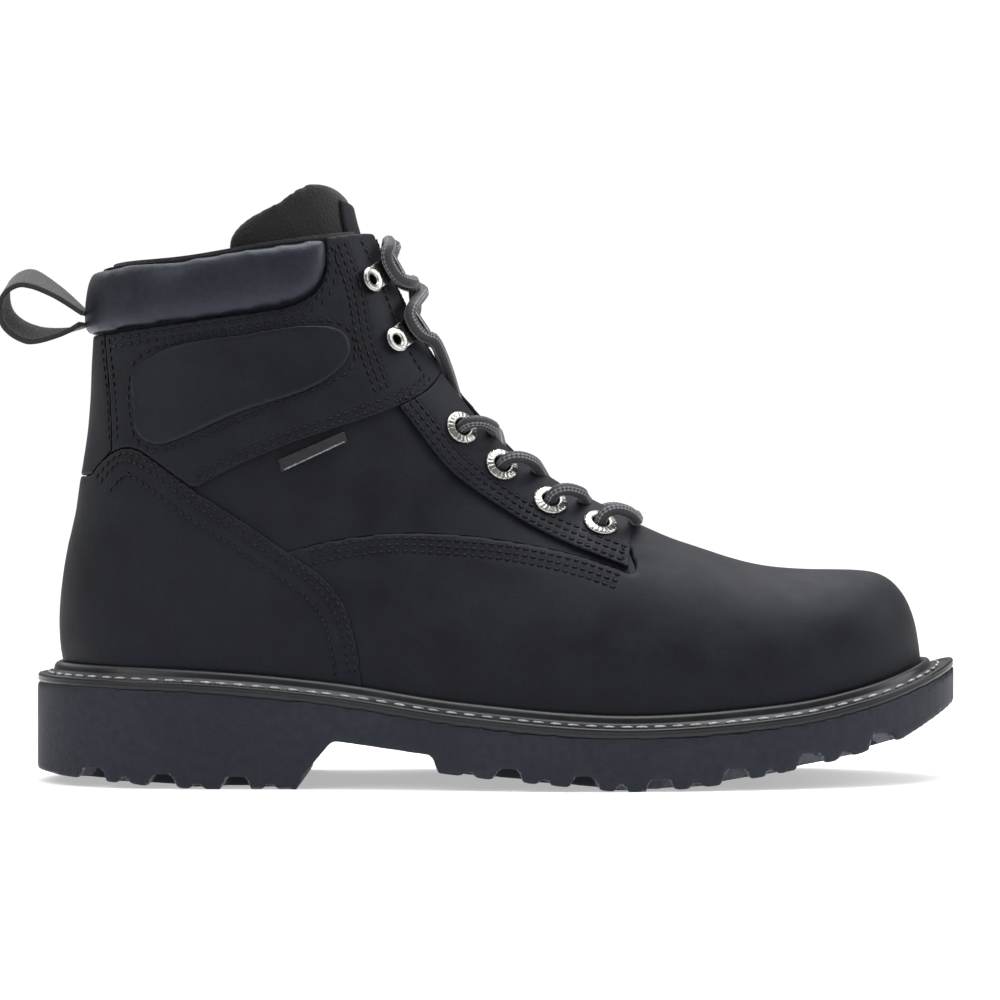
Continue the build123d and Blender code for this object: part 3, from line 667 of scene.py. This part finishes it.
eyelet_spots = {}
hook_spots = {}
for side, word in ((-1, "lateral"), (1, "medial")):
    eyelet_rings = separate_rings("eyelets_" + word)
    rivet_rings = separate_rings("hook_rivets_" + word)
    eyelet_spots[side] = [lace_spot(eyelet_rings, x, z, side) for x, z in EYELETS]
    hook_spots[side] = []
    for x, z in HOOKS:
        middle, axis, run = lace_spot(rivet_rings, x, z, side)
        to_throat = axis.cross(run) * side
        hook_spots[side].append((middle + to_throat * HOOK_RIVET_BACK * MM, axis, run))

# Half profile of a rolled eyelet as radius and height in mm, from the washer over the flange.
EYELET_PROFILE = [(4.5, -7.9), (4.5, -7.5), (3.3, -7.2), (3.3, 0.1), (5.6, 0.1), (5.9, 0.4), (5.75, 0.85),
                  (5.1, 1.15), (4.3, 1.2), (3.6, 1.5), (3.05, 1.25), (2.8, 0.5), (2.8, -7.9)]
FLANGE_TICKS = 20
TICK_BAND = (4.0, 5.2)
TICK_ABOVE = 0.5
TICK_DEEP = 0.22
for side, word in ((-1, "lateral"), (1, "medial")):
    shape = bmesh.new()
    for middle, axis, run in eyelet_spots[side]:
        across = axis.cross(run)
        rim = [shape.verts.new(middle + (run * r + axis * h) * MM) for r, h in EYELET_PROFILE]
        edges = [shape.edges.new(pair) for pair in zip(rim, rim[1:] + rim[:1])]
        bmesh.ops.spin(shape, geom=rim + edges, cent=middle, axis=axis, dvec=(0, 0, 0), angle=2 * math.pi,
                       steps=4 * FLANGE_TICKS, use_merge=True, use_duplicate=False)
        for corner in shape.verts:
            from_middle = corner.co - middle
            height = from_middle.dot(axis) / MM
            radius = (from_middle - axis * from_middle.dot(axis)).length / MM
            if from_middle.length > 12 * MM or height <= TICK_ABOVE or not TICK_BAND[0] < radius < TICK_BAND[1]:
                continue
            turn = math.atan2(from_middle.dot(across), from_middle.dot(run))
            if math.sin(turn * FLANGE_TICKS) > 0.6:
                corner.co -= axis * TICK_DEEP * MM
    bmesh.ops.remove_doubles(shape, verts=shape.verts, dist=0.001 * MM)
    bmesh.ops.recalc_face_normals(shape, faces=shape.faces)
    ring_mesh = bpy.data.meshes.new("eyelets_" + word + "_plated")
    shape.to_mesh(ring_mesh)
    shape.free()
    rings = place_mesh("eyelets_" + word + "_plated", ring_mesh, nickel)
    ring_mesh.set_sharp_from_angle(angle=math.radians(50))
    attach(rings, "boot")
    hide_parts("eyelets_" + word)

# Lace. Round braided polyester, 4.4 mm, black with two rows of pale tracer flecks. It crosses over
# the stays and down through each eyelet, goes round the hooks, and its ends are tucked inside.
LACE_R = 2.2
BRAID_PITCH = 5.2


# Places beside each eyelet, each hook and the last hook: towards the throat, off the leather and up
# the throat in mm, and how much of the half's own drop and lead each one takes.
EYELET_PASS = [(9.8, 1.2, -9.0, 0, 0.5), (7.0, 5.0, -6.5, 0, 0), (3.4, 6.4, -2.6, 0, 0), (0.3, 4.6, 0.0, 0, 0),
               (0.0, 0.6, 0.0, 0, 0), (0.0, -6.0, 0.0, 0, 0), (1.6, -9.8, 0.6, 0, 0), (8.6, -8.4, 2.0, -1, 1)]
HOOK_PASS = [(8.2, 4.0, -8.0, 0, 0), (4.0, 3.4, -4.4, 0, 0), (3.0, 3.4, 0.0, 0, 0), (4.0, 3.4, 4.4, 0, 0),
             (8.0, 4.4, 6.6, 0, 0)]
HOOK_CROSSING = [(13.5, 2.4, -12.5, -1, 1)]
TUCKED_END = [(12.0, 3.2, 6.0, -1.4, 1), (9.5, -5.5, 4.0, 0, -1), (4.0, -9.6, -4.0, 0, 0),
              (3.0, -9.8, -15.0, 0, 0)]


def half_route(side, drop, lead):
    """Points that one half of the lace passes, from the first eyelet to its tucked end."""
    passes = [(eyelet_spots, number, EYELET_PASS) for number in range(4)]
    passes += [(hook_spots, 0, HOOK_PASS), (hook_spots, 1, HOOK_CROSSING + HOOK_PASS)]
    points = []
    for spots, number, places in passes + [(hook_spots, 1, TUCKED_END)]:
        middle, axis, run = spots[side][number]
        for inward, outward, up, drops, leads in places:
            points.append(middle + (axis.cross(run) * side * inward + axis * (outward + drops * drop)
                                    + run * (up + leads * lead)) * MM)
        side = -side
    return points


def soft_line(name, points, steps):
    """Points of the smooth curve that a flexible piece takes along its route."""
    curve = bpy.data.curves.new(name, "CURVE")
    curve.dimensions = "3D"
    curve.resolution_u = steps
    spline = curve.splines.new("NURBS")
    spline.points.add(len(points) - 1)
    for control, point in zip(spline.points, points):
        control.co = (*point, 1.0)
    spline.order_u = 3
    spline.use_endpoint_u = True
    route = bpy.data.objects.new(name, curve)
    scene.collection.objects.link(route)
    bpy.context.view_layer.update()
    solved = route.evaluated_get(bpy.context.evaluated_depsgraph_get())
    mesh = bpy.data.meshes.new_from_object(solved)
    line = [corner.co.copy() for corner in mesh.vertices]
    bpy.data.objects.remove(route)
    return line


def even_line(line, step):
    """The same curve, at even steps."""
    places, left = [line[0]], step
    for a, b in zip(line, line[1:]):
        long = (b - a).length
        while long >= left:
            a = a + (b - a) * (left / long)
            long -= left
            left = step
            places.append(a)
        left -= long
    return places


def strip(name, long_steps, cross_steps, at, long_mm, cross_mm):
    """A strip whose points are set by at(along, across), both 0 to 1, with its cloth map in mm."""
    shape = bmesh.new()
    bmesh.ops.create_grid(shape, x_segments=long_steps, y_segments=cross_steps, size=1.0)
    threads = shape.loops.layers.uv.new("cloth")
    for face in shape.faces:
        for corner in face.loops:
            corner[threads].uv = ((corner.vert.co.x + 1) / 2 * long_mm, (corner.vert.co.y + 1) / 2 * cross_mm)
    for corner in shape.verts:
        corner.co = at((corner.co.x + 1) / 2, (corner.co.y + 1) / 2)
    bmesh.ops.remove_doubles(shape, verts=shape.verts, dist=0.001 * MM)
    bmesh.ops.recalc_face_normals(shape, faces=shape.faces)
    mesh = bpy.data.meshes.new(name)
    shape.to_mesh(mesh)
    shape.free()
    return mesh


UPPER_HALF = (1.6, 4.2)
BAR_LIFT = Vector((0.766, 0.0, 0.643)) * 1.2 * MM
LACE_STEP = 0.62
half_a = half_route(-1, 0.0, 0.0)
half_b = half_route(1, *UPPER_HALF)
bar = (half_a[0] + half_b[0]) / 2 + BAR_LIFT
lace_line = even_line(soft_line("lace_route", half_a[::-1] + [bar] + half_b, 12), LACE_STEP * MM)
lace_long = LACE_STEP * (len(lace_line) - 1)
sides = []
across = Vector((0.0, 0.0, 1.0))
for number, place in enumerate(lace_line):
    ahead = lace_line[min(number + 1, len(lace_line) - 1)] - lace_line[max(number - 1, 0)]
    ahead.normalize()
    across = (across - ahead * across.dot(ahead)).normalized()
    sides.append((across.copy(), ahead.cross(across)))


def lace_skin(along, around):
    """Place on the lace's braided surface."""
    number = min(round(along * (len(lace_line) - 1)), len(lace_line) - 1)
    turn = 2 * math.pi * around
    wave = 2 * math.pi * along * lace_long / BRAID_PITCH
    braid = math.sin(4 * turn + 2 * wave) * math.sin(4 * turn - 2 * wave)
    end = min(number, len(lace_line) - 1 - number)
    radius = (LACE_R - 0.1 + 0.13 * braid) * min(1.0, 0.02 + end / 3)
    first, second = sides[number]
    return lace_line[number] + (first * math.cos(turn) + second * math.sin(turn)) * radius * MM


lace_round = 2 * math.pi * LACE_R
braid_finish, tree = new_finish("braided_polyester_cord")
where = add(tree, "ShaderNodeTexCoord")
cells = add(tree, "ShaderNodeMapping", {"Vector": (where, "UV"), "Rotation": (0.0, 0.0, math.radians(45)),
                                        "Scale": (1.25, 1.25, 1.25)})
checks = add(tree, "ShaderNodeTexChecker", {"Vector": (cells, "Vector"), "Scale": 1.0})
rows = add(tree, "ShaderNodeTexWave", {"Vector": (where, "UV"), "Scale": 1 / lace_round * 0.96,
                                       "Distortion": 0.6, "Detail": 1.0},
           bands_direction="Y")
row_mask = add(tree, "ShaderNodeMapRange", {"Value": (rows, "Fac"), "From Min": 0.62, "From Max": 0.72})
fleck = add(tree, "ShaderNodeMath", {0: (row_mask, "Result"), 1: (checks, "Fac")}, operation="MULTIPLY")
fuzz = add(tree, "ShaderNodeTexNoise", {"Vector": (where, "UV"), "Scale": 4.0, "Detail": 3.0})
dark = add(tree, "ShaderNodeMix", {0: (fuzz, "Fac"), 6: linear("#0A0A0C"), 7: linear("#222327")},
           data_type="RGBA")
tint = add(tree, "ShaderNodeMix", {0: (fleck, "Value"), 6: (dark, 2), 7: linear("#6A6C74")}, data_type="RGBA")
lift = add(tree, "ShaderNodeMath", {0: (checks, "Fac"), 1: (fuzz, "Fac")}, operation="ADD")
relief = add(tree, "ShaderNodeBump", {"Height": (lift, "Value"), "Strength": 0.8, "Distance": 0.15 * MM})
gloss = add(tree, "ShaderNodeMapRange", {"Value": (fuzz, "Fac"), "To Min": 0.45, "To Max": 0.75})
skin = add(tree, "ShaderNodeBsdfPrincipled", {
    "Base Color": (tint, 2), "Roughness": (gloss, "Result"), "Normal": (relief, "Normal"),
    "Sheen Weight": 0.2, "Sheen Roughness": 0.4})
add(tree, "ShaderNodeOutputMaterial", {"Surface": (skin, "BSDF")})
lace = place_mesh("lace_cord", strip("lace_cord", len(lace_line) - 1, 16, lace_skin, lace_long, lace_round),
                  braid_finish)
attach(lace, "boot")
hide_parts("lace")

# Storm welt. Extruded rubber strip sewn round the lasted upper: a raised bead against the leather,
# a sloping channel that holds a pale lockstitch, and a ribbed outer edge over the outsole.
SOLE_EDGE = [
    (-150.5, 0.0), (-146.5, -18.5), (-134.0, -33.5), (-112.0, -43.0), (-85.0, -45.5), (-55.0, -46.2),
    (-25.0, -48.6), (5.0, -53.6), (32.0, -57.0), (62.0, -55.5), (95.0, -50.0), (122.0, -41.5),
    (145.0, -27.5), (158.5, -11.0), (163.5, 4.5), (161.0, 20.0), (149.0, 35.5), (126.0, 48.0),
    (95.0, 55.0), (58.0, 57.0), (30.0, 54.5), (2.0, 49.0), (-28.0, 44.2), (-58.0, 41.8),
    (-85.0, 41.6), (-112.0, 40.6), (-134.0, 32.5), (-146.5, 18.5), (-150.5, 0.0)]
SOLE_TOP = [(-150, 34), (-92, 32), (-48, 28), (-6, 21.7), (48, 17.6), (99, 20.7), (128, 26), (149, 32.7),
            (163, 38.5)]
WELT_STITCH = 5.8
SOLE_MIDDLE_X = 5
RUN_STEPS = 3
PROBE_OUT = 8
PROBE_DOWN = 4
LAST_SLOPE_IN = 9
LAST_UP = 6.0
PLAIN_GAP = 9.0
GAP_LEAST = 4.2
GAP_MOST = 14.0
EVEN_OVER = 4
sole_line = smooth_line(SOLE_EDGE, 1.0)
top_places, top_heights = zip(*smooth_line(SOLE_TOP, 0.5))


def sole_top(x):
    """Height in mm of the outsole's top at x mm."""
    return float(numpy.interp(x, top_places, top_heights))


lasted_skin = surface_of(leathers)
outsole_wall = surface_of([outsole])
welt_stations = []
count = len(sole_line)
for number, (x, y) in enumerate(sole_line):
    before, after = sole_line[(number - RUN_STEPS) % count], sole_line[(number + RUN_STEPS) % count]
    run = Vector((after[0] - before[0], after[1] - before[1], 0.0)).normalized()
    out = Vector((-run.y, run.x, 0.0)) * -1
    if out.dot(Vector((x - SOLE_MIDDLE_X, y, 0.0))) < 0:
        out = -out
    top = sole_top(x)
    start = Vector((x, y, top)) * MM
    wall = outsole_wall.ray_cast(start + (out * PROBE_OUT - Vector((0, 0, PROBE_DOWN))) * MM, -out)[0]
    edge = Vector((wall.x, wall.y, top * MM)) if wall is not None else start
    over = sole_top(x - LAST_SLOPE_IN * out.x) + LAST_UP - top
    upper = lasted_skin.ray_cast(start + (out * PROBE_DOWN + Vector((0, 0, over))) * MM, -out)[0]
    gap = PLAIN_GAP
    if upper is not None:
        gap = Vector((edge.x - upper.x, edge.y - upper.y, 0.0)).length / MM
    welt_stations.append([edge, out, min(max(gap, GAP_LEAST), GAP_MOST)])
cast = [tuple(station) for station in welt_stations]
for number, station in enumerate(welt_stations):
    near = [cast[(number + k) % count] for k in range(-EVEN_OVER, EVEN_OVER + 1)]
    station[0] = sum((edge for edge, _, _ in near), Vector()) / len(near)
    station[2] = sum(gap for _, _, gap in near) / len(near)

# Profile of the welt: on the ribbed edge, distance in from the sole's edge and height; on the bead,
# share of the way from the bead's foot to the upper and height.
WELT_RIB = [(2.2, -1.3), (1.0, -1.3), (0.6, -0.2), (0.15, 0.35), (0.0, 1.0), (0.14, 1.4), (0.0, 1.8),
            (0.12, 2.4), (0.5, 2.85), (1.1, 3.0), (1.7, 2.9), (2.1, 2.45), (2.5, 2.4)]
WELT_BEAD = [(0.0, 4.0), (0.1, 4.15), (0.16, 4.9), (0.2, 5.8), (0.36, 6.7), (0.56, 7.15), (0.76, 7.1),
             (0.96, 6.6), (1.2, 5.4), (1.25, 0.1)]
BEAD_WIDE = 4.1
FOOT_LEAST = 2.7
STITCH_ROW = 12.55
CHANNEL_ROWS = (12, 13)
THREAD_LIFT = 0.2
WELT_STITCH_SIZE = (4.5, 1.0)


def welt_skin(along, across):
    """Place on the welt's surface."""
    edge, out, gap = welt_stations[round(along * count) % count]
    foot = max(FOOT_LEAST, gap - BEAD_WIDE)
    profile = WELT_RIB + [(foot + share * (gap - foot), height) for share, height in WELT_BEAD]
    row = across * (len(profile) - 1)
    first = min(int(row), len(profile) - 2)
    part = row - first
    inward, height = (a * (1 - part) + b * part for a, b in zip(profile[first], profile[first + 1]))
    place = edge - out * inward * MM
    place.z = (sole_top(place.x / MM) + height) * MM
    return place


WELT_ROWS = len(WELT_RIB) + len(WELT_BEAD) - 1
welt_rubber = organic_finish("extruded_welt_rubber", "#0B0C0F", "#15171B", 22, 0.5, 0.02, (0.26, 0.38),
                              Specular_IOR_Level=0.36)
welt_mesh = strip("storm_welt_strip", count, WELT_ROWS, welt_skin, count, 24)
welt = place_mesh("storm_welt_strip", welt_mesh, welt_rubber)
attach(welt, "boot")
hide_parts("storm_welt")

seam = bmesh.new()
stitches = int(count / WELT_STITCH)
for number in range(stitches):
    along = (number + 0.5) / stitches
    place = welt_skin(along, STITCH_ROW / WELT_ROWS)
    ahead = (welt_skin((along + 0.003) % 1, STITCH_ROW / WELT_ROWS) - place).normalized()
    low, high = (welt_skin(along, row / WELT_ROWS) for row in CHANNEL_ROWS)
    inner = high - low
    normal = ahead.cross(inner).normalized()
    if normal.z < 0:
        normal = -normal
    sew(seam, place + normal * THREAD_LIFT * MM, ahead, normal, *WELT_STITCH_SIZE)
welt_cord = organic_finish("waxed_welt_thread", "#8F9299", "#B9BCC2", 3, 0.35, 0.08, (0.55, 0.7))
seam_mesh = bpy.data.meshes.new("welt_seam")
seam.to_mesh(seam_mesh)
seam.free()
welt_seam = place_mesh("welt_seam", seam_mesh, welt_cord)
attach(welt_seam, "boot")

# Pull loop. Polyester webbing 22 mm wide, doubled back on itself and sewn in under the collar; it
# stands out behind the boot and swings on its seam.
LOOP_ROUTE = [(-1.5, 2.2), (-12.0, 10.2), (-22.0, 14.6), (-29.0, 9.8), (-28.2, 0.6), (-20.0, -4.8),
              (-9.0, -4.0), (-1.5, -1.0)]
LOOP_WIDE = 22.0
LOOP_LEAN = math.radians(16)
LOOP_STEP = 0.8
LEAN_REACH = 20
WEB_THICK = 1.6
hinge = Vector((-133.2, 0.0, 157.0))
loop_line = smooth_line(LOOP_ROUTE, LOOP_STEP)


def loop_skin(along, across):
    """Place on the webbing's middle surface, leaning a little to the outer side."""
    x, z = loop_line[min(round(along * (len(loop_line) - 1)), len(loop_line) - 1)]
    reach = min(1.0, -x / LEAN_REACH)
    side = (across - 0.5) * LOOP_WIDE
    lean = LOOP_LEAN * reach
    return (hinge + Vector((x, side * math.cos(lean), z + side * math.sin(lean)))) * MM


web_finish, tree = new_finish("woven_polyester_webbing")
where = add(tree, "ShaderNodeTexCoord")
ribs = add(tree, "ShaderNodeTexWave", {"Vector": (where, "UV"), "Scale": 0.35}, bands_direction="X")
cords = add(tree, "ShaderNodeTexWave", {"Vector": (where, "UV"), "Scale": 0.22}, bands_direction="Y")
fuzz = add(tree, "ShaderNodeTexNoise", {"Vector": (where, "UV"), "Scale": 2.0, "Detail": 4.0})
weave = add(tree, "ShaderNodeMath", {0: (ribs, "Fac"), 1: (cords, "Fac")}, operation="MULTIPLY")
lift = add(tree, "ShaderNodeMath", {0: (weave, "Value"), 1: (fuzz, "Fac")}, operation="ADD")
tint = add(tree, "ShaderNodeMix", {0: (fuzz, "Fac"), 6: linear("#060607"), 7: linear("#191A1F")},
           data_type="RGBA")
relief = add(tree, "ShaderNodeBump", {"Height": (lift, "Value"), "Strength": 0.9, "Distance": 0.3 * MM})
skin = add(tree, "ShaderNodeBsdfPrincipled", {
    "Base Color": (tint, 2), "Roughness": 0.75, "Normal": (relief, "Normal"), "Sheen Weight": 0.3,
    "Sheen Roughness": 0.4})
add(tree, "ShaderNodeOutputMaterial", {"Surface": (skin, "BSDF")})
loop = place_mesh("pull_loop_webbing", strip("pull_loop_webbing", len(loop_line) - 1, 12, loop_skin,
                                             LOOP_STEP * len(loop_line), LOOP_WIDE), web_finish)
thick = loop.modifiers.new("thickness", "SOLIDIFY")
thick.thickness = WEB_THICK * MM
thick.offset = 0.0
settle(loop)
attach(loop, "pull_loop")
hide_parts("pull_loop")
